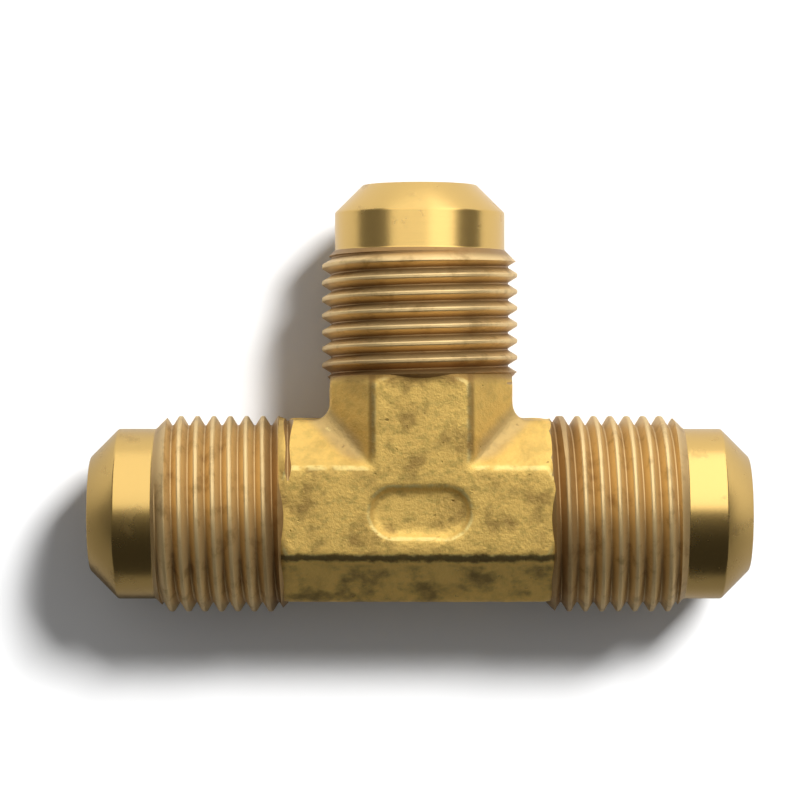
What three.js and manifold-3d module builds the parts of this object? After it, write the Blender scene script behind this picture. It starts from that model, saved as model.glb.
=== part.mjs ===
// A brass union tee with three male 45-degree flare ends, for 1/2 in tube.
// It is one forging: a tee-shaped body of chamfered-square section, with its three arms turned
// down and threaded 3/4-16, and a bore drilled in from each end.
// Millimetres, +Z up. The tee lies flat on its threads, with its run along X and its branch
// towards +Y. The origin is the middle of its footprint on the surface that it lies on.
import * as THREE from "three";
import { mergeVertices } from "three/addons/utils/BufferGeometryUtils.js";
import Module from "manifold-3d";

// The driving dimensions. Distances along an arm run outwards from where the axes cross.
const INCH = 25.4;
const ARM_LENGTH = 1.25 * INCH;
const BORE_RADIUS = 0.203 * INCH;
const LIP_RADIUS = 5.5; // the flat ring at the small end of the flare seat
const NOSE_RADIUS = 8.2;
const NOSE_START = ARM_LENGTH - 6.3; // where the thread's lead-in meets the plain nose
const THREAD_PITCH = INCH / 16;
const CREST_RADIUS = 9.45;
const ROOT_RADIUS = 8.55;
const CREST_HALF_WIDTH = 0.12;
const FORGING_END = 14; // the forging's own end, hidden inside the turned shank
const COLLAR_RADIUS = 9.1;
const COLLAR_STEP = 0.2; // from the end of an arm's body to its full collar
const SHANK_STEP = 0.35; // and to its full shank
const BODY_HALF = (11 / 32) * INCH; // half of 11/16 in across the flats
const RUN_FLAT_HALF = 4.2;
const BRANCH_FLAT_HALF = 4.5;
const RUN_OFFSET = 0.4; // the run's forged section sits this far towards the branch
const CROTCH_RADIUS = 1.4;
const PAD_LENGTH = 9.8;
const PAD_WIDTH = 5;
const PAD_DEPTH = 0.55;

// Each arm's own places along it: how far its body reaches before its corners have come down
// to the collar, where its groove has run out, and where its thread's crest passes its top,
// less whole pitches.
const BRANCH = { reach: 13.4, threadEnd: 12.7, crest: 0.43 };
const LEFT = { reach: 13.2, threadEnd: 12.3, crest: 0.45 };
const RIGHT = { reach: 12.75, threadEnd: 12.3, crest: 1.33 };

const SEGMENTS = 32; // round an arm
const HALF_SEGMENT = Math.PI / SEGMENTS; // round shapes turn by this, so that a flat lies down
const TO_CORNER = 1 / Math.cos(HALF_SEGMENT); // and radii are those of their flats
const FLANK_SLOPE = Math.tan(Math.PI / 6);
const SUNK = 0.2; // how far joined shapes run into each other
const CLEAR = 1; // how far a cutter runs past a face

const wasm = await Module();
wasm.setup();

// A closed three.js geometry as a solid. Triangles that merging collapses are dropped.
function solidOf(geometry) {
  const bare = new THREE.BufferGeometry();
  bare.setAttribute("position", geometry.getAttribute("position"));
  bare.setIndex(geometry.getIndex());
  const merged = mergeVertices(bare, 1e-4);
  const corners = merged.getIndex().array;
  const kept = [];
  for (let i = 0; i < corners.length; i += 3) {
    const [a, b, c] = corners.slice(i, i + 3);
    if (a !== b && b !== c && c !== a) kept.push(a, b, c);
  }
  const vertProperties = merged.getAttribute("position").array;
  const triVerts = new Uint32Array(kept);
  return new wasm.Manifold(new wasm.Mesh({ numProp: 3, vertProperties, triVerts }));
}

// A solid as a flat-shaded three.js geometry.
function geometryOf(solid) {
  const mesh = solid.getMesh();
  const geometry = new THREE.BufferGeometry();
  geometry.setAttribute("position", new THREE.BufferAttribute(mesh.vertProperties, 3));
  geometry.setIndex(new THREE.BufferAttribute(mesh.triVerts, 1));
  const flat = geometry.toNonIndexed();
  flat.computeVertexNormals();
  return flat;
}

// A solid of revolution about Y. The profile is [radius, distance along the arm] pairs that
// start and end on the axis.
function turned(profile) {
  const points = profile.map(([radius, along]) => new THREE.Vector2(radius * TO_CORNER, along));
  return solidOf(new THREE.LatheGeometry(points, SEGMENTS, HALF_SEGMENT));
}

// An arm as turned before threading, along +Y: shank, lead-in, nose, 45-degree seat and lip.
function turnedBlank(arm) {
  const shankStart = arm.reach + SHANK_STEP;
  return turned([
    [0, shankStart - (CREST_RADIUS - ROOT_RADIUS)],
    [ROOT_RADIUS, shankStart - (CREST_RADIUS - ROOT_RADIUS)],
    [CREST_RADIUS, shankStart],
    [CREST_RADIUS, NOSE_START - (CREST_RADIUS - NOSE_RADIUS)],
    [NOSE_RADIUS, NOSE_START],
    [NOSE_RADIUS, ARM_LENGTH - (NOSE_RADIUS - LIP_RADIUS)],
    [LIP_RADIUS, ARM_LENGTH],
    [0, ARM_LENGTH],
  ]);
}

// The thread's groove as a cutter: a long box wound round the arm, right-handed, with
// 60-degree flanks. It comes in over the nose, which is too slim for it to touch, and lifts
// out of the metal over its last half turn, beside the body.
function threadGroove(arm) {
  const grooveStart = arm.crest + THREAD_PITCH / 2;
  const stepsTo = (along) => Math.ceil(((along - grooveStart) / THREAD_PITCH) * SEGMENTS);
  const first = stepsTo(arm.threadEnd);
  const last = stepsTo(NOSE_START + THREAD_PITCH / 2);
  const runout = SEGMENTS / 2;
  const depth = CREST_RADIUS - ROOT_RADIUS;
  const rootHalfWidth = THREAD_PITCH / 2 - CREST_HALF_WIDTH - depth * FLANK_SLOPE;
  const groove = new THREE.BoxGeometry(1, 1, 1, 1, 1, last - first);
  const corner = groove.getAttribute("position");
  for (let i = 0; i < corner.count; i++) {
    const step = first + Math.round((corner.getZ(i) + 0.5) * (last - first));
    const lifted = Math.max(0, 1 - (step - first) / runout) * (depth + SUNK);
    const above = corner.getY(i) > 0 ? depth + SUNK / 2 : 0;
    const halfWidth = rootHalfWidth + above * FLANK_SLOPE;
    const angle = 2 * Math.PI * (step / SEGMENTS) + HALF_SEGMENT;
    const along = grooveStart + THREAD_PITCH * (angle / (2 * Math.PI));
    const radius = (ROOT_RADIUS + above + lifted) * TO_CORNER;
    corner.setXYZ(
      i,
      radius * Math.sin(angle),
      along + 2 * corner.getX(i) * halfWidth,
      radius * Math.cos(angle),
    );
  }
  return solidOf(groove);
}

// Half the body's width at a height above or below its middle plane, for a section whose
// flats are joined by 45-degree chamfers.
function halfWidthAt(height, flatHalf) {
  return BODY_HALF - Math.max(0, Math.abs(height) - flatHalf);
}

// A forged bar of the body along +Z, from `start` to `end`, as a geometry.
function forgedBar(flatHalf, start, end) {
  const section = new THREE.Shape();
  section.moveTo(BODY_HALF, -flatHalf);
  section.lineTo(BODY_HALF, flatHalf);
  section.lineTo(flatHalf, BODY_HALF);
  section.lineTo(-flatHalf, BODY_HALF);
  section.lineTo(-BODY_HALF, flatHalf);
  section.lineTo(-BODY_HALF, -flatHalf);
  section.lineTo(-flatHalf, -BODY_HALF);
  section.lineTo(flatHalf, -BODY_HALF);
  const bar = new THREE.ExtrudeGeometry(section, { depth: end - start, bevelEnabled: false });
  return bar.translate(0, 0, start);
}

// What the shoulder leaves of a bar, along +Y: its corners come down at 45 degrees to the
// collar.
function shoulderLimit(arm) {
  const wide = COLLAR_RADIUS + CLEAR;
  return turned([
    [0, -wide],
    [wide, -wide],
    [wide, arm.reach - CLEAR],
    [COLLAR_RADIUS, arm.reach],
    [COLLAR_RADIUS, FORGING_END],
    [0, FORGING_END],
  ]);
}

// The round collar that stands a little proud of the flats at the end of an arm's body,
// along +Y.
function collar(arm) {
  const rise = COLLAR_RADIUS + SUNK - BODY_HALF;
  const start = arm.reach + COLLAR_STEP;
  return turned([
    [0, start - rise],
    [COLLAR_RADIUS - rise, start - rise],
    [COLLAR_RADIUS, start],
    [COLLAR_RADIUS, FORGING_END],
    [0, FORGING_END],
  ]);
}

// The blend in the crotch between run and branch, on the +X side. Its radius is full beside
// the middle plane and shrinks to nothing where the chamfers meet at the flats.
function crotchBlend() {
  const web = new THREE.Shape();
  web.moveTo(-SUNK, -SUNK);
  web.lineTo(CROTCH_RADIUS, -SUNK);
  web.lineTo(CROTCH_RADIUS, 0);
  web.absarc(CROTCH_RADIUS, CROTCH_RADIUS, CROTCH_RADIUS, -Math.PI / 2, -Math.PI, true);
  web.lineTo(-SUNK, CROTCH_RADIUS);
  const top = BODY_HALF - SUNK;
  const levels = [-top, -BRANCH_FLAT_HALF, -RUN_FLAT_HALF, RUN_FLAT_HALF, BRANCH_FLAT_HALF, top];
  const steps = levels.length - 1;
  const blend = new THREE.ExtrudeGeometry(web, {
    depth: steps,
    steps,
    curveSegments: 6,
    bevelEnabled: false,
  });
  const corner = blend.getAttribute("position");
  for (let i = 0; i < corner.count; i++) {
    const height = levels[Math.round(corner.getZ(i))];
    const run = halfWidthAt(height, RUN_FLAT_HALF);
    const branch = halfWidthAt(height, BRANCH_FLAT_HALF);
    const share = (run - RUN_FLAT_HALF) / (BODY_HALF - RUN_FLAT_HALF);
    corner.setXYZ(
      i,
      branch + corner.getX(i) * share,
      run + RUN_OFFSET + corner.getY(i) * share,
      height,
    );
  }
  return solidOf(blend);
}

// The shallow oblong pad sunk into the upper flat by the die, with drafted walls, as a cutter.
function padCutter() {
  const end = (PAD_LENGTH - PAD_WIDTH) / 2;
  const floor = PAD_WIDTH / 2 - PAD_DEPTH;
  const outline = new THREE.Shape();
  outline.absarc(end, 0, floor, -Math.PI / 2, Math.PI / 2, false);
  outline.absarc(-end, 0, floor, Math.PI / 2, -Math.PI / 2, false);
  const cutter = new THREE.ExtrudeGeometry(outline, {
    depth: CLEAR,
    bevelThickness: PAD_DEPTH,
    bevelSize: PAD_DEPTH,
    bevelSegments: 1,
    curveSegments: 8,
  });
  return solidOf(cutter.translate(0, RUN_OFFSET, BODY_HALF));
}

// A solid built along +Y, turned to the left arm or to the right one.
const toLeft = (solid) => solid.rotate([0, 0, 90]);
const toRight = (solid) => solid.rotate([0, 0, -90]);

// The forged body: run, branch, collars, crotch blends and pad.
function forgedBody() {
  const runBar = forgedBar(RUN_FLAT_HALF, -FORGING_END, FORGING_END);
  runBar.rotateY(Math.PI / 2).translate(0, RUN_OFFSET, 0);
  const branchBar = forgedBar(BRANCH_FLAT_HALF, 0, FORGING_END).rotateX(-Math.PI / 2);
  const runLimit = toLeft(shoulderLimit(LEFT)).add(toRight(shoulderLimit(RIGHT)));
  const runCollars = toLeft(collar(LEFT)).add(toRight(collar(RIGHT)));
  const blend = crotchBlend();
  return solidOf(runBar)
    .intersect(runLimit)
    .add(solidOf(branchBar).intersect(shoulderLimit(BRANCH)))
    .add(collar(BRANCH))
    .add(runCollars.translate([0, RUN_OFFSET, 0]))
    .add(blend)
    .add(blend.mirror([1, 0, 0]))
    .subtract(padCutter());
}

// The drilled bore: down each arm to the middle, where the three meet.
function bore() {
  const length = ARM_LENGTH + CLEAR;
  const branch = turned([
    [0, 0],
    [BORE_RADIUS, 0],
    [BORE_RADIUS, length],
    [0, length],
  ]);
  return branch.add(toLeft(branch).translate([SUNK, 0, 0])).add(toRight(branch));
}

const tee = forgedBody()
  .add(turnedBlank(BRANCH))
  .add(toLeft(turnedBlank(LEFT)))
  .add(toRight(turnedBlank(RIGHT)))
  .subtract(threadGroove(BRANCH))
  .subtract(toLeft(threadGroove(LEFT)))
  .subtract(toRight(threadGroove(RIGHT)))
  .subtract(bore());

const brass = new THREE.MeshStandardMaterial({ color: 0xbb9b54, metalness: 1, roughness: 0.35 });
const teeBody = new THREE.Mesh(geometryOf(tee), brass);
teeBody.name = "tee_body";
teeBody.position.set(0, (CREST_RADIUS - ARM_LENGTH) / 2, CREST_RADIUS);

const flareTee = new THREE.Group();
flareTee.add(teeBody);

export default flareTee;
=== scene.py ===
import math

import bmesh
import bpy
from mathutils import Matrix, Vector, noise


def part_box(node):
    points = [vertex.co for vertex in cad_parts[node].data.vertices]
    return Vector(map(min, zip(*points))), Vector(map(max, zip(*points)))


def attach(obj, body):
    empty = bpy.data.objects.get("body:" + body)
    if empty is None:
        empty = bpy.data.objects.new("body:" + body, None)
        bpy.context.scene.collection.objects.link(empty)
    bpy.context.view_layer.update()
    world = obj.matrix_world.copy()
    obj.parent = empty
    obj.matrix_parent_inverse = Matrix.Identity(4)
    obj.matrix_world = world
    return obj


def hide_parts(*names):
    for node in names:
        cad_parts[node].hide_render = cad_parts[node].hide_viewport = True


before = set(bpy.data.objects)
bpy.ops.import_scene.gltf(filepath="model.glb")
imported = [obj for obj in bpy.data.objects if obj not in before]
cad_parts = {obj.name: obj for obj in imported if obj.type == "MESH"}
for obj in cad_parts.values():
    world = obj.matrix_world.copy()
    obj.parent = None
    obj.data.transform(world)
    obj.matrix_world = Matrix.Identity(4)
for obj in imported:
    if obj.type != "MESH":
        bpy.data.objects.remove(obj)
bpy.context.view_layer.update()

# ---------------------------------------------------------------------------------------------
# The forging. The tee starts as one hot brass forging: a run and a branch of square section
# with chamfered edges, struck between two dies that meet at its middle plane. It is modelled
# about the point where the three arms cross, with the branch along +Y.
# ---------------------------------------------------------------------------------------------
MM = 0.001
lowest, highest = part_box("tee_body")
arm_length = highest.x
crest_radius = (highest.z - lowest.z) / 2
crossing = Vector((0, lowest.y + crest_radius, lowest.z + crest_radius))

body_half = 8.73 * MM
run_flat_half = 4.2 * MM
branch_flat_half = 4.5 * MM
run_offset = 0.4 * MM  # the run's section sits this far towards the branch
branch_offset = 0.12 * MM  # and the branch's this far towards +X
collar_radius = 9.05 * MM
collar_rise = 0.6 * MM
collar_step = 0.2 * MM  # from the end of a body to its full collar
bar_start = -1.0 * MM  # the arms' bars start a little past the crossing, so that they join
forging_end = 14.0 * MM
edge_radius = 0.9 * MM
crotch_radius = 1.8 * MM
flash_height = 0.12 * MM
flash_width = 1.3 * MM

ROUND_STEPS = 96  # round a collar, a thread or the bore

# How far out each arm's square section reaches before its shoulder.
BODY_REACHES = {"branch": 13.4 * MM, "left": 13.2 * MM, "right": 12.75 * MM}
ARM_TURNS = {
    "branch": Matrix.Identity(4),
    "left": Matrix.Rotation(math.radians(90), 4, "Z"),
    "right": Matrix.Rotation(math.radians(-90), 4, "Z"),
}
MATERIALS = ["forged_brass", "turned_brass", "threaded_brass", "bored_brass"]
materials = {name: bpy.data.materials.new(name) for name in MATERIALS}


def piece_from(bm, name, material):
    """A new object from a bmesh, with every finish in its slots and one of them on its faces."""
    bmesh.ops.remove_doubles(bm, verts=bm.verts, dist=0.001 * MM)
    bmesh.ops.recalc_face_normals(bm, faces=bm.faces)
    for face in bm.faces:
        face.material_index = MATERIALS.index(material)
    mesh = bpy.data.meshes.new(name)
    bm.to_mesh(mesh)
    bm.free()
    for finish in MATERIALS:
        mesh.materials.append(materials[finish])
    piece = bpy.data.objects.new(name, mesh)
    bpy.context.scene.collection.objects.link(piece)
    return piece


def settle(piece):
    """Makes a piece's modifiers part of its mesh."""
    depsgraph = bpy.context.evaluated_depsgraph_get()
    mesh = bpy.data.meshes.new_from_object(piece.evaluated_get(depsgraph))
    piece.modifiers.clear()
    piece.data = mesh


def combine(piece, tool, operation):
    """Joins a piece with a tool, cuts it by the tool or trims it to the tool."""
    step = piece.modifiers.new(operation, "BOOLEAN")
    step.operation = operation
    step.solver = "MANIFOLD"
    step.object = tool
    settle(piece)
    bpy.data.objects.remove(tool)


def turned_shape(profile, steps, name, material, easing=0):
    """A solid spun about Y from (radius, distance along the arm) points on one side of it."""
    bm = bmesh.new()
    points = [bm.verts.new((0, along, radius)) for radius, along in profile]
    for pair in zip(points, points[1:]):
        bm.edges.new(pair)
    if easing:
        bmesh.ops.bevel(
            bm, geom=points[1:-1], offset=easing, segments=3, profile=0.5, affect="VERTICES",
            material=-1,
        )
    bmesh.ops.spin(
        bm, geom=bm.verts[:] + bm.edges[:], cent=(0, 0, 0), axis=(0, 1, 0),
        angle=2 * math.pi, steps=steps, use_merge=True,
    )
    return piece_from(bm, name, material)


def block(width, start, end, height):
    """A box as a bmesh, round the Y axis from one place along it to another."""
    bm = bmesh.new()
    bmesh.ops.create_cube(bm, size=1)
    bmesh.ops.scale(bm, vec=(width, end - start, height), verts=bm.verts)
    bmesh.ops.translate(bm, vec=(0, (start + end) / 2, 0), verts=bm.verts)
    return bm


def long_edges(bm):
    """The edges of a bar that run its whole length, along Y."""
    return [e for e in bm.edges if abs((e.verts[0].co - e.verts[1].co).normalized().y) > 0.99]


def forged_bar(name, flat_half, body_reach):
    """A bar along Y with 45-degree chamfers and rounded edges, coned off past its reach."""
    bm = block(2 * body_half, bar_start, forging_end, 2 * body_half)
    bmesh.ops.bevel(
        bm, geom=long_edges(bm), offset=body_half - flat_half, segments=1, profile=0.5,
        affect="EDGES", material=-1,
    )
    bmesh.ops.bevel(
        bm, geom=long_edges(bm), offset=edge_radius * math.tan(math.radians(22.5)), segments=5,
        profile=0.5, affect="EDGES", material=-1,
    )
    bar = piece_from(bm, name, "forged_brass")
    limit = turned_shape(
        [
            (0, bar_start - MM),
            (2 * body_half, bar_start - MM),
            (2 * body_half, body_reach - (2 * body_half - collar_radius)),
            (collar_radius, body_reach),
            (collar_radius, forging_end),
            (0, forging_end),
        ],
        ROUND_STEPS, "limit", "forged_brass",
    )
    combine(bar, limit, "INTERSECT")
    return bar


ARM_OFFSETS = {
    "branch": (branch_offset, 0, 0),
    "left": (0, run_offset, 0),
    "right": (0, run_offset, 0),
}
forging = None
for arm, turn in ARM_TURNS.items():
    flat_half = branch_flat_half if arm == "branch" else run_flat_half
    body_reach = BODY_REACHES[arm]
    bar = forged_bar(arm + "_bar", flat_half, body_reach)
    collar = turned_shape(
        [
            (0, body_reach - collar_rise),
            (collar_radius - collar_rise, body_reach - collar_rise),
            (collar_radius, body_reach + collar_step),
            (collar_radius, forging_end),
            (0, forging_end),
        ],
        ROUND_STEPS, "collar", "forged_brass",
    )
    bm = block(2 * (body_half + flash_height), 0, body_reach - edge_radius, flash_width)
    flash = piece_from(bm, "flash", "forged_brass")
    for part in (bar, collar, flash):
        part.data.transform(Matrix.Translation(ARM_OFFSETS[arm]) @ turn)
    combine(bar, collar, "UNION")
    combine(bar, flash, "UNION")
    if forging is None:
        forging = bar
    else:
        combine(forging, bar, "UNION")


def crotch_blend(side):
    """The web in the crotch beside the branch: a fillet that dies away towards both faces."""
    bm = bmesh.new()
    outline = [(-1, -1), (1, -1), (1, 0)]
    turns = [math.radians(90) * step / 8 for step in range(9)]
    outline += [(1 - math.sin(a), 1 - math.cos(a)) for a in turns[1:]]
    outline += [(-1, 1)]
    corners = [bm.verts.new((x * crotch_radius, y * crotch_radius, 0)) for x, y in outline]
    face = bm.faces.new(corners)
    levels = [-0.98, -0.75, -0.5, 0.5, 0.75, 0.98]
    bmesh.ops.spin(
        bm, geom=[face] + corners + list(face.edges), cent=(0, 0, 0), axis=(0, 0, 1),
        dvec=(0, 0, 1), angle=0, steps=len(levels) - 1,
    )
    for vert in bm.verts:
        height = levels[round(vert.co.z)] * body_half
        run_fall = max(0, abs(height) - run_flat_half)
        branch_fall = max(0, abs(height) - branch_flat_half)
        share = 1 - run_fall / (body_half - run_flat_half)
        vert.co = Vector((
            body_half - branch_fall + vert.co.x * share,
            body_half - run_fall + vert.co.y * share,
            height,
        ))
    bmesh.ops.translate(bm, vec=(side * branch_offset, run_offset, 0), verts=bm.verts)
    bmesh.ops.scale(bm, vec=(side, 1, 1), verts=bm.verts)
    return piece_from(bm, "crotch_blend", "forged_brass")


for side in (-1, 1):
    combine(forging, crotch_blend(side), "UNION")

# The oblong pad is sunk by the upper die, with drafted walls.
pad_length = 9.8 * MM
pad_width = 5.0 * MM
pad_depth = 0.55 * MM
bm = bmesh.new()
bmesh.ops.create_cone(
    bm, cap_ends=True, segments=46, radius1=pad_width / 2 - pad_depth,
    radius2=pad_width / 2 + pad_depth, depth=2 * pad_depth,
)
for vert in bm.verts:
    vert.co.x += math.copysign((pad_length - pad_width) / 2, vert.co.x)
bmesh.ops.translate(bm, vec=(0, run_offset, body_half), verts=bm.verts)
combine(forging, piece_from(bm, "pad", "forged_brass"), "DIFFERENCE")

# Hot metal doesn't fill a die sharply, and shrinks unevenly: the skin is remeshed, its corners
# are eased, and it waves by a few hundredths of a millimetre.
remesh = forging.modifiers.new("skin", "REMESH")
remesh.mode = "VOXEL"
remesh.voxel_size = 0.22 * MM
settle(forging)
EASING_PASSES = 5
wave_length = 3.2 * MM
wave_height = 0.035 * MM
ripple_length = 0.7 * MM
ripple_height = 0.010 * MM
bm = bmesh.new()
bm.from_mesh(forging.data)
for _ in range(EASING_PASSES):
    bmesh.ops.smooth_vert(
        bm, verts=bm.verts, factor=0.5, use_axis_x=True, use_axis_y=True, use_axis_z=True,
    )
bm.normal_update()
for vert in bm.verts:
    wave = noise.fractal(vert.co / wave_length, 1.0, 2.0, 3) * wave_height
    ripple = noise.fractal(vert.co / ripple_length, 1.0, 2.0, 2) * ripple_height
    vert.co += vert.normal * (wave + ripple)
bm.to_mesh(forging.data)
bm.free()


def feed(tree, node, sockets):
    """Links a node's sockets to what comes out of other nodes, or sets them."""
    for socket, value in sockets.items():
        if isinstance(value, bpy.types.NodeSocket):
            tree.links.new(value, node.inputs[socket])
        else:
            node.inputs[socket].default_value = value


def add(tree, kind, sockets, **settings):
    """A new node in a tree, with its settings made and its sockets set or linked."""
    made = tree.nodes.new("ShaderNode" + kind)
    for setting, value in settings.items():
        setattr(made, setting, value)
    feed(tree, made, sockets)
    return made


def split(tree, vector):
    """The X, Y and Z of a vector."""
    return add(tree, "SeparateXYZ", {"Vector": vector}).outputs


def maths(tree, operation, *values):
    """The value of a Math node."""
    return add(tree, "Math", dict(enumerate(values)), operation=operation).outputs[0]


def ranged(tree, value, low, high, new_low=0.0, new_high=1.0):
    """A value moved smoothly from one range to another, and held at its ends."""
    sockets = {0: value, 1: low, 2: high, 3: new_low, 4: new_high}
    return add(tree, "MapRange", sockets, interpolation_type="SMOOTHSTEP").outputs[0]


def mixed(tree, factor, first, second):
    """A colour between two colours."""
    sockets = {0: factor, 6: first, 7: second}
    return add(tree, "Mix", sockets, data_type="RGBA").outputs[2]


def coated(tree, colour, mask, strength, coating):
    """A colour with a coating over it where a mask is, at most so strong."""
    return mixed(tree, maths(tree, "MULTIPLY", mask, strength), colour, coating)


def noisy(tree, position, scale, detail, roughness=0.5):
    """A noise value around 0.5, with so many cells to the metre."""
    sockets = {"Vector": position, "Scale": scale, "Detail": detail, "Roughness": roughness}
    return add(tree, "TexNoise", sockets).outputs["Fac"]


def bumped(tree, height, depth, under=None):
    """Normals bent by a height from 0 to 1, which stands for so many metres."""
    sockets = {"Height": height, "Distance": depth}
    if under is not None:
        sockets["Normal"] = under
    return add(tree, "Bump", sockets).outputs["Normal"]


def new_group(name, inputs, outputs):
    """An empty shader group with named sockets: its tree, what comes in, and its end."""
    tree = bpy.data.node_groups.new(name, "ShaderNodeTree")
    for socket, kind in inputs.items():
        tree.interface.new_socket(socket, in_out="INPUT", socket_type="NodeSocket" + kind)
    for socket, kind in outputs.items():
        tree.interface.new_socket(socket, in_out="OUTPUT", socket_type="NodeSocket" + kind)
    return tree, tree.nodes.new("NodeGroupInput").outputs, tree.nodes.new("NodeGroupOutput")


def use_group(tree, group, sockets):
    """A group placed in a material, with its sockets set or linked: what comes out of it."""
    placed = tree.nodes.new("ShaderNodeGroup")
    placed.node_tree = group
    feed(tree, placed, sockets)
    return placed.outputs


# Tarnish lies in ragged patches. Size is that of a patch in metres, and Cover is how much of the
# metal they take.
blotches, given, end = new_group(
    "blotches", {"Position": "Vector", "Size": "Float", "Cover": "Float"}, {"Mask": "Float"},
)
blotch_scale = maths(blotches, "DIVIDE", 1.0, given["Size"])
blotch_noise = noisy(blotches, given["Position"], blotch_scale, 5.0, 0.6)
PATCH_START = 0.66  # the noise value where patches begin at no cover
FULL_COVER = 0.34  # how much lower they begin at full cover
PATCH_FADE = 0.24  # and how much higher a patch is full
blotch_edge = maths(blotches, "MULTIPLY_ADD", given["Cover"], -FULL_COVER, PATCH_START)
blotch_full = maths(blotches, "ADD", blotch_edge, PATCH_FADE)
blotches.links.new(
    ranged(blotches, blotch_noise, blotch_edge, blotch_full), end.inputs["Mask"],
)

# The metal's grain is a fine roughness with a few small pits in it.
grain, given, end = new_group(
    "grain", {"Position": "Vector", "Size": "Float"}, {"Height": "Float", "Pits": "Float"},
)
grain_scale = maths(grain, "DIVIDE", 1.0, given["Size"])
grain_noise = noisy(grain, given["Position"], grain_scale, 4.0, 0.65)
PIT_SPREAD = 2.6  # times as coarse as the grain
PIT_DEPTH = 0.8  # of the grain's whole height
pit_scale = maths(grain, "DIVIDE", grain_scale, PIT_SPREAD)
pit_noise = noisy(grain, given["Position"], pit_scale, 3.0, 0.5)
pits = ranged(grain, pit_noise, 0.31, 0.24)
pitted = maths(grain, "MULTIPLY_ADD", pits, -PIT_DEPTH, grain_noise)
grain.links.new(pitted, end.inputs["Height"])
grain.links.new(pits, end.inputs["Pits"])

# Where a point is on its own arm: how far out along it, how far from its axis, how near to the
# corner between two arms, and a position whose noise runs in rings round the arm.
arm_place, given, end = new_group(
    "arm_place", {"Position": "Vector"},
    {"Along": "Float", "Radius": "Float", "Rings": "Vector", "Corner": "Float"},
)
parts = split(arm_place, given["Position"])
run_distance = maths(arm_place, "ABSOLUTE", parts["X"])
along = maths(arm_place, "MAXIMUM", run_distance, parts["Y"])
across = maths(arm_place, "MINIMUM", run_distance, parts["Y"])
across_squared = maths(arm_place, "MULTIPLY", across, across)
radius_squared = maths(arm_place, "MULTIPLY_ADD", parts["Z"], parts["Z"], across_squared)
radius = maths(arm_place, "SQRT", radius_squared)
ring_place = maths(arm_place, "ADD", along, radius)
RING_STRETCH = 0.03
rings = add(arm_place, "CombineXYZ", {
    "X": ring_place,
    "Y": maths(arm_place, "MULTIPLY", across, RING_STRETCH),
    "Z": maths(arm_place, "MULTIPLY", parts["Z"], RING_STRETCH),
})
apart = maths(arm_place, "SUBTRACT", along, across)
beside = ranged(arm_place, apart, 2.6 * MM, 0.6 * MM)
off_flats = ranged(arm_place, across, 4.6 * MM, 6.2 * MM)
arm_place.links.new(maths(arm_place, "MULTIPLY", beside, off_flats), end.inputs["Corner"])
arm_place.links.new(along, end.inputs["Along"])
arm_place.links.new(radius, end.inputs["Radius"])
arm_place.links.new(rings.outputs["Vector"], end.inputs["Rings"])

# The rounded edges between a flat and its chamfers, which face neither way, are rubbed by
# handling and painted pale as a highlight, and the inner corners are painted dark as shade.
# Tarnish is fullest on the flats; its fading off them is painted light on the chamfers.
light_and_wear, given, end = new_group("light_and_wear", {}, {"Edges": "Float", "Hollows": "Float", "Flats": "Float"})
pointiness = add(light_and_wear, "NewGeometry", {}).outputs["Pointiness"]
facing = add(light_and_wear, "TexCoord", {}).outputs["Normal"]
upwards = maths(light_and_wear, "ABSOLUTE", split(light_and_wear, facing)["Z"])
off_flat = ranged(light_and_wear, upwards, 0.99, 0.96)
off_chamfer = ranged(light_and_wear, upwards, 0.77, 0.83)
rounded = ranged(light_and_wear, pointiness, 0.50, 0.515)
edges = maths(light_and_wear, "MULTIPLY", maths(light_and_wear, "MULTIPLY", off_flat, off_chamfer), rounded)
light_and_wear.links.new(edges, end.inputs["Edges"])
light_and_wear.links.new(ranged(light_and_wear, pointiness, 0.475, 0.42), end.inputs["Hollows"])
light_and_wear.links.new(ranged(light_and_wear, upwards, 0.80, 0.96, 0.4, 1.0), end.inputs["Flats"])


def centred(tree):
    """Positions on the tee, measured from the point where its arms cross."""
    position = add(tree, "TexCoord", {}).outputs["Object"]
    return add(tree, "Mapping", {"Vector": position, "Location": -crossing}).outputs["Vector"]


def brass(name, metallic):
    """A brass material's tree and its shader, ready for the looks of its surface."""
    materials[name].use_nodes = True
    tree = materials[name].node_tree
    shader = tree.nodes["Principled BSDF"]
    shader.inputs["Metallic"].default_value = metallic
    return tree, shader


def dress(tree, shader, colour, roughness, normal):
    """Gives a brass shader its colour, roughness and normals."""
    tree.links.new(colour, shader.inputs["Base Color"])
    tree.links.new(roughness, shader.inputs["Roughness"])
    tree.links.new(normal, shader.inputs["Normal"])


# The forging's skin is blasted, then tarnished in the air: golden, mottled with olive, with
# brown stains. Its hollows, crotches, shoulders, outer side and edge lines carry painted
# shade, and its rounded corners a painted highlight.
GOLDEN = (0.90, 0.60, 0.165, 1)
OLIVE = (0.54, 0.37, 0.10, 1)
BROWN = (0.24, 0.13, 0.04, 1)
SHADE_DARK = (0.10, 0.075, 0.03, 1)
HIGHLIGHT_PALE = (0.93, 0.76, 0.30, 1)
CROTCH_SHADE = (0.40, 0.29, 0.17, 1)
tree, shader = brass("forged_brass", 0.85)
position = centred(tree)
skin = use_group(tree, grain, {"Position": position, "Size": 0.34 * MM})
lit_and_worn = use_group(tree, light_and_wear, {})
place = use_group(tree, arm_place, {"Position": position})
mottle = use_group(tree, blotches, {"Position": position, "Size": 1.1 * MM, "Cover": 0.6})
stains = use_group(tree, blotches, {"Position": position, "Size": 3.0 * MM, "Cover": 0.58})
shade_patches = use_group(tree, blotches, {"Position": position, "Size": 3.4 * MM, "Cover": 0.62})
waver = noisy(tree, position, 1 / (1.2 * MM), 3.0, 0.6)
parts = split(tree, position)
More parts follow.
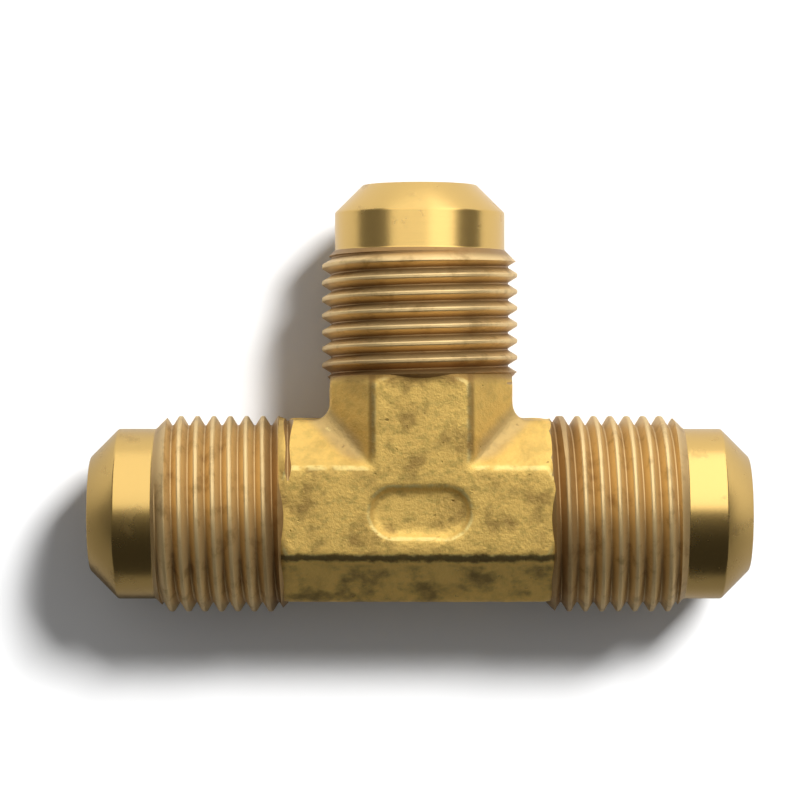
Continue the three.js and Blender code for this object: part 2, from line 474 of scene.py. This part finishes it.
# Tarnish is thinner off the flats: painted light that lifts the chamfers.
mottled = maths(tree, "MULTIPLY", mottle["Mask"], lit_and_worn["Flats"])
stained = maths(tree, "MULTIPLY", stains["Mask"], lit_and_worn["Flats"])
colour = coated(tree, GOLDEN, mottled, 0.8, OLIVE)
colour = coated(tree, colour, stained, 0.62, BROWN)
colour = coated(tree, colour, skin["Pits"], 0.4, BROWN)
# Painted shade in the crotches beside the branch, off the flats.
crotch_shade = ranged(tree, place["Corner"], 0.0, 1.0)
colour = coated(tree, colour, crotch_shade, 0.5, CROTCH_SHADE)
# Painted shade: the hollows, where the skin curves inward, are coloured brown.
colour = coated(tree, colour, lit_and_worn["Hollows"], 0.75, BROWN)
# Painted highlight: the rounded edges between flats and chamfers are coloured pale.
rubbed_highlight = maths(tree, "MULTIPLY", lit_and_worn["Edges"], ranged(tree, waver, 0.36, 0.56))
colour = coated(tree, colour, rubbed_highlight, 0.6, HIGHLIGHT_PALE)
# Painted shade: browner towards each shoulder, and most of all by the branch's shoulder.
by_shoulder = ranged(tree, place["Along"], 12.4 * MM, 13.4 * MM)
colour = coated(tree, colour, by_shoulder, 0.4, BROWN)
up_branch = ranged(tree, parts["Y"], 12.4 * MM, 13.4 * MM)
colour = coated(tree, colour, up_branch, 0.7, BROWN)

# Painted shade: dark patches on the run's outer side, away from the long light, a dark wavering
# line along its edge, and brown lines along the edges of the branch.
low_side = ranged(tree, parts["Y"], -4.3 * MM, -4.9 * MM)
low_side_shade = maths(tree, "MULTIPLY", low_side, shade_patches["Mask"])
colour = coated(tree, colour, low_side_shade, 0.7, SHADE_DARK)
# Painted shade: a dark wavering line along the run's lower rounded edge.
line_far = 0.5 * MM  # a line has faded out so far from its middle
line_near = 0.15 * MM  # and is full so near to it
line_place = maths(tree, "MULTIPLY_ADD", waver, 0.9 * MM, 3.45 * MM)
from_line = maths(tree, "ABSOLUTE", maths(tree, "ADD", parts["Y"], line_place))
edge_shade_line = ranged(tree, from_line, line_far, line_near)
colour = coated(tree, colour, edge_shade_line, 0.85, SHADE_DARK)
# Painted shade: brown lines along the rounded edges of the branch.
from_branch = maths(tree, "ABSOLUTE", maths(tree, "SUBTRACT", parts["X"], branch_offset))
line_middle = branch_flat_half + 0.15 * MM
beside_edge = maths(tree, "ABSOLUTE", maths(tree, "SUBTRACT", from_branch, line_middle))
near_edge = ranged(tree, beside_edge, line_far, line_near)
on_branch = ranged(tree, parts["Y"], 5.2 * MM, 6.4 * MM)
branch_shade_lines = maths(tree, "MULTIPLY", near_edge, on_branch)
colour = coated(tree, colour, branch_shade_lines, 0.6, BROWN)

# The rubbed edges are also smoother, but not where shade is painted by the shoulders.
polish = maths(tree, "MAXIMUM", maths(tree, "SUBTRACT", rubbed_highlight, by_shoulder), 0.0)
roughness = ranged(tree, skin["Height"], 0.2, 0.8, 0.54, 0.42)
roughness = maths(tree, "MULTIPLY_ADD", polish, -0.14, roughness)
dress(tree, shader, colour, roughness, bumped(tree, skin["Height"], 0.06 * MM))

# ---------------------------------------------------------------------------------------------
# The flare ends. Each arm is chucked and turned to a shank, a lead-in, a plain nose and a
# 45-degree seat, and a right-hand 3/4-16 thread is cut on the shank.
# ---------------------------------------------------------------------------------------------
root_radius = 8.55 * MM
nose_radius = 8.2 * MM
lip_radius = 5.5 * MM
nose_start = arm_length - 6.3 * MM
pitch = 25.4 / 16 * MM
shank_step = 0.35 * MM  # from the end of a body to its full shank
run_out_length = 0.8 * MM
tool_clearance = 0.1 * MM
# The tool begins to lift out of each thread here, and is clear of it a run-out further in.
RUN_OUT_STARTS = {"branch": 13.5 * MM, "left": 13.1 * MM, "right": 13.1 * MM}
# Where each thread's crest passes the top of its arm, less whole pitches.
CREST_STARTS = {"branch": 0.43 * MM, "left": 0.45 * MM, "right": 1.33 * MM}


def turned_blank(shank_start):
    """An arm's shank and nose, its corners eased by the tool."""
    blank = turned_shape(
        [
            (0, shank_start - crest_radius + root_radius),
            (root_radius, shank_start - crest_radius + root_radius),
            (crest_radius, shank_start),
            (crest_radius, nose_start - (crest_radius - nose_radius)),
            (nose_radius, nose_start),
            (nose_radius, arm_length - (nose_radius - lip_radius)),
            (lip_radius, arm_length),
            (0, arm_length),
        ],
        128, "blank", "turned_brass", easing=0.12 * MM,
    )
    for face in blank.data.polygons:
        if face.center.y < nose_start:
            face.material_index = MATERIALS.index("threaded_brass")
    return blank


def thread_groove(crest_start, run_out_start):
    """The thread's groove as a cutter, wound round an arm and lifting out beside the body."""
    depth = crest_radius - root_radius
    slope = math.tan(math.radians(30))
    crest_half = 0.1 * MM
    crest_ease = 0.06 * MM
    root_ease = 0.05 * MM
    shoulder = pitch / 2 - crest_half - crest_ease / slope
    root_half = shoulder - (depth - crest_ease) * slope
    half = [
        (root_half - root_ease, root_radius),
        (root_half, root_radius + root_ease),
        (shoulder, crest_radius - crest_ease),
        (shoulder + 1.6 * crest_ease / slope, crest_radius + 0.6 * crest_ease),
    ]
    section = [(-along, radius) for along, radius in reversed(half)] + half
    start = crest_start + pitch / 2
    start += math.floor((run_out_start - run_out_length - start) / pitch) * pitch
    turns = math.ceil((nose_start + pitch / 2 - start) / pitch)
    bm = bmesh.new()
    verts = [bm.verts.new((0, start + along, radius)) for along, radius in section]
    face = bm.faces.new(verts)
    bmesh.ops.spin(
        bm, geom=[face] + verts + list(face.edges), cent=(0, 0, 0), axis=(0, 1, 0),
        dvec=(0, pitch / ROUND_STEPS, 0), angle=turns * 2 * math.pi, steps=turns * ROUND_STEPS,
    )
    for vert in bm.verts:
        turn = math.atan2(vert.co.x, vert.co.z) / (2 * math.pi)
        wound = turn + round((vert.co.y - start) / pitch - turn)
        lifted = (run_out_start - start - wound * pitch) / run_out_length
        out = min(max(lifted, 0), 1.5) * (depth + tool_clearance)
        vert.co += Vector((vert.co.x, 0, vert.co.z)).normalized() * out
    return piece_from(bm, "groove", "threaded_brass")


for arm, turn in ARM_TURNS.items():
    blank = turned_blank(BODY_REACHES[arm] + shank_step)
    blank.data.transform(turn)
    combine(forging, blank, "UNION")
    groove = thread_groove(CREST_STARTS[arm], RUN_OUT_STARTS[arm])
    groove.data.transform(turn)
    combine(forging, groove, "DIFFERENCE")

# The noses and seats are left bright by the tool, with its fine rings and a few finger stains.
TURNED = (0.80, 0.53, 0.175, 1)
FINGERED = (0.50, 0.33, 0.12, 1)
tree, shader = brass("turned_brass", 1.0)
position = centred(tree)
place = use_group(tree, arm_place, {"Position": position})
smudges = use_group(tree, blotches, {"Position": position, "Size": 2.2 * MM, "Cover": 0.3})
marks = noisy(tree, place["Rings"], 1 / (0.16 * MM), 3.0)
colour = coated(tree, TURNED, smudges["Mask"], 0.6, FINGERED)
roughness = ranged(tree, smudges["Mask"], 0.0, 1.0, 0.26, 0.38)
dress(tree, shader, colour, roughness, bumped(tree, marks, 0.006 * MM))

# The threads are duller. Their roots are darker, partly with brown cutting oil and partly as
# painted shade, most of all on the branch, and painted shade lies beside the body.
TAN = (0.83, 0.60, 0.28, 1)
OIL_AND_SHADE = (0.28, 0.145, 0.045, 1)
RUBBED_HIGHLIGHT = (0.92, 0.68, 0.34, 1)
tree, shader = brass("threaded_brass", 0.85)
position = centred(tree)
place = use_group(tree, arm_place, {"Position": position})
dull = use_group(tree, blotches, {"Position": position, "Size": 1.9 * MM, "Cover": 0.5})
skin = use_group(tree, grain, {"Position": position, "Size": 0.22 * MM})
marks = noisy(tree, place["Rings"], 1 / (0.12 * MM), 3.0)
root_oil_and_shade = ranged(tree, place["Radius"], root_radius + 0.75 * MM, root_radius)
root_darkening = ranged(tree, split(tree, position)["Y"], 10 * MM, 12 * MM, 0.4, 0.8)
on_crest = ranged(tree, place["Radius"], crest_radius - 0.12 * MM, crest_radius)
colour = coated(tree, TAN, dull["Mask"], 0.5, OIL_AND_SHADE)
# Painted shade, with some real oil: the thread roots are browner.
colour = coated(tree, colour, root_oil_and_shade, root_darkening, OIL_AND_SHADE)
# Painted shade: the threads are browner beside the body.
by_body = ranged(tree, place["Along"], 15.3 * MM, 14.1 * MM)
colour = coated(tree, colour, by_body, 0.6, OIL_AND_SHADE)
# The crests are paler: partly rubbed, partly a painted highlight.
colour = coated(tree, colour, on_crest, 0.12, RUBBED_HIGHLIGHT)
roughness = ranged(tree, skin["Height"], 0.2, 0.8, 0.48, 0.36)
flanks = bumped(tree, marks, 0.008 * MM)
dress(tree, shader, colour, roughness, bumped(tree, skin["Height"], 0.012 * MM, flanks))

# ---------------------------------------------------------------------------------------------
# The bore. It is drilled down each arm to the middle, and its mouths are lightly deburred.
# ---------------------------------------------------------------------------------------------
bore_radius = 5.15 * MM
deburr = 0.12 * MM
for arm, turn in ARM_TURNS.items():
    past = 0.3 * MM if arm == "branch" else -0.3 * MM
    drill = turned_shape(
        [
            (0, past - 3.1 * MM),
            (bore_radius, past),
            (bore_radius, arm_length - deburr),
            (bore_radius + 2 * deburr, arm_length + deburr),
            (0, arm_length + deburr),
        ],
        ROUND_STEPS, "drill", "bored_brass",
    )
    drill.data.transform(turn)
    combine(forging, drill, "DIFFERENCE")

# Inside, the drill leaves coarser rings, and the metal is dull.
DRILLED = (0.62, 0.40, 0.13, 1)
tree, shader = brass("bored_brass", 1.0)
position = centred(tree)
place = use_group(tree, arm_place, {"Position": position})
dull = use_group(tree, blotches, {"Position": position, "Size": 3.0 * MM, "Cover": 0.5})
marks = noisy(tree, place["Rings"], 1 / (0.3 * MM), 3.0)
colour = coated(tree, DRILLED, dull["Mask"], 0.6, BROWN)
roughness = ranged(tree, marks, 0.3, 0.7, 0.45, 0.32)
dress(tree, shader, colour, roughness, bumped(tree, marks, 0.02 * MM))

tee = forging
tee.name = "flare_tee"
tee.data.transform(Matrix.Translation(crossing))
tee.data.shade_smooth()
tee.data.set_sharp_from_angle(angle=math.radians(28))
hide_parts("tee_body")
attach(tee, "root")

# ---------------------------------------------------------------------------------------------
# The studio. The tee lies on a white table and mirrors one long soft light, which leans over it
# from beyond the branch and is brighter on its right. A smaller lamp gives its shadow, a wide one
# overhead softens that, and the room is dim on the side away from the long light.
# ---------------------------------------------------------------------------------------------
camera_data = bpy.data.cameras.new("camera")
camera = bpy.data.objects.new("camera", camera_data)
bpy.context.scene.collection.objects.link(camera)
camera_height = 310 * MM
camera_shift = Vector((-1.9 * MM, 10.99 * MM, 0))  # from straight above the crossing
field_width = 77.4 * MM
camera.location = crossing + camera_shift + Vector((0, 0, camera_height))
camera_data.lens = camera_data.sensor_width * camera_height / field_width
camera_data.clip_start = 10 * MM
bpy.context.scene.camera = camera
bpy.context.scene.view_settings.view_transform = "Standard"

floor_mesh = bpy.data.meshes.new("floor")
bm = bmesh.new()
bmesh.ops.create_grid(bm, x_segments=1, y_segments=1, size=2)
bm.to_mesh(floor_mesh)
bm.free()
floor = bpy.data.objects.new("floor", floor_mesh)
bpy.context.scene.collection.objects.link(floor)
table_white = bpy.data.materials.new("table_white")
table_white.use_nodes = True
table_tree = table_white.node_tree
table_paint = table_tree.nodes["Principled BSDF"].inputs
table_paint["Roughness"].default_value = 1.0
table_paint["Specular IOR Level"].default_value = 0.0
WHITE = (0.9, 0.9, 0.9, 1)
# The table's colour in the brass's reflections is painted: greyer than its white, and painted
# shade away from the window.
NEAR_WINDOW = (0.68, 0.68, 0.68, 1)  # the table as the brass mirrors it, towards the window
FAR_FROM_WINDOW = (0.18, 0.18, 0.18, 1)  # and away from it, where the room is dark
table_place = add(table_tree, "TexCoord", {}).outputs["Object"]
table_parts = split(table_tree, table_place)
dark_until = -45 * MM
bright_from = 30 * MM
slantwise = maths(table_tree, "MULTIPLY_ADD", table_parts["X"], 0.1, table_parts["Y"])
nearness = ranged(table_tree, slantwise, dark_until, bright_from)
reflected = mixed(table_tree, nearness, FAR_FROM_WINDOW, NEAR_WINDOW)
mirrored = add(table_tree, "LightPath", {}).outputs["Is Glossy Ray"]
table_tree.links.new(mixed(table_tree, mirrored, WHITE, reflected), table_paint["Base Color"])
floor_mesh.materials.append(table_white)


def soft_light(name, place, aim, width, length, brightness):
    """A rectangular light at a place, turned towards a point, seen only by what it lights."""
    light = bpy.data.lights.new(name, "AREA")
    light.shape = "RECTANGLE"
    light.size = width
    light.size_y = length
    light.energy = brightness * math.pi * width * length
    lamp = bpy.data.objects.new(name, light)
    lamp.location = place
    lamp.rotation_euler = (aim - place).to_track_quat("-Z", "Y").to_euler()
    lamp.visible_camera = False
    bpy.context.scene.collection.objects.link(lamp)
    return lamp


window_top = Vector((0.04, 0.028, 0.300))
window_foot = Vector((0.04, 0.500, 0.002))
window_middle = (window_top + window_foot) / 2
window_slope = window_foot - window_top
window_length = window_slope.length
window_facing = window_slope.cross(Vector((1, 0, 0)))
window = soft_light(
    "window", window_middle, window_middle + window_facing, 0.52, window_length, 1.03,
)
window.visible_diffuse = False

# The window's bright side is a second light just in front of it, and adds to it.
in_front = window_facing.normalized() * 5 * MM
bright_middle = window_middle + in_front + Vector((0.115, 0, 0))
bright_side = soft_light(
    "window_bright_side", bright_middle, bright_middle + window_facing, 0.2, window_length, 0.6,
)
bright_side.visible_diffuse = False
origin = Vector((0, 0, 0))
lamp = soft_light("lamp", Vector((0.63, 0.705, 1.17)), origin, 0.36, 0.36, 78.0)
lamp.visible_glossy = False
overhead = soft_light("overhead", Vector((0, 0, 1)), origin, 1.2, 1.2, 0.3)
overhead.visible_glossy = False

room = bpy.data.worlds.new("room")
bpy.context.scene.world = room
room.use_nodes = True
room_tree = room.node_tree
direction = add(room_tree, "TexCoord", {}).outputs["Generated"]
room_light = ranged(room_tree, split(room_tree, direction)["Y"], -0.6, 0.6, 0.035, 0.22)
room_tree.links.new(room_light, room_tree.nodes["Background"].inputs["Strength"])
room_tree.nodes["Background"].inputs["Color"].default_value = (1, 1, 1, 1)
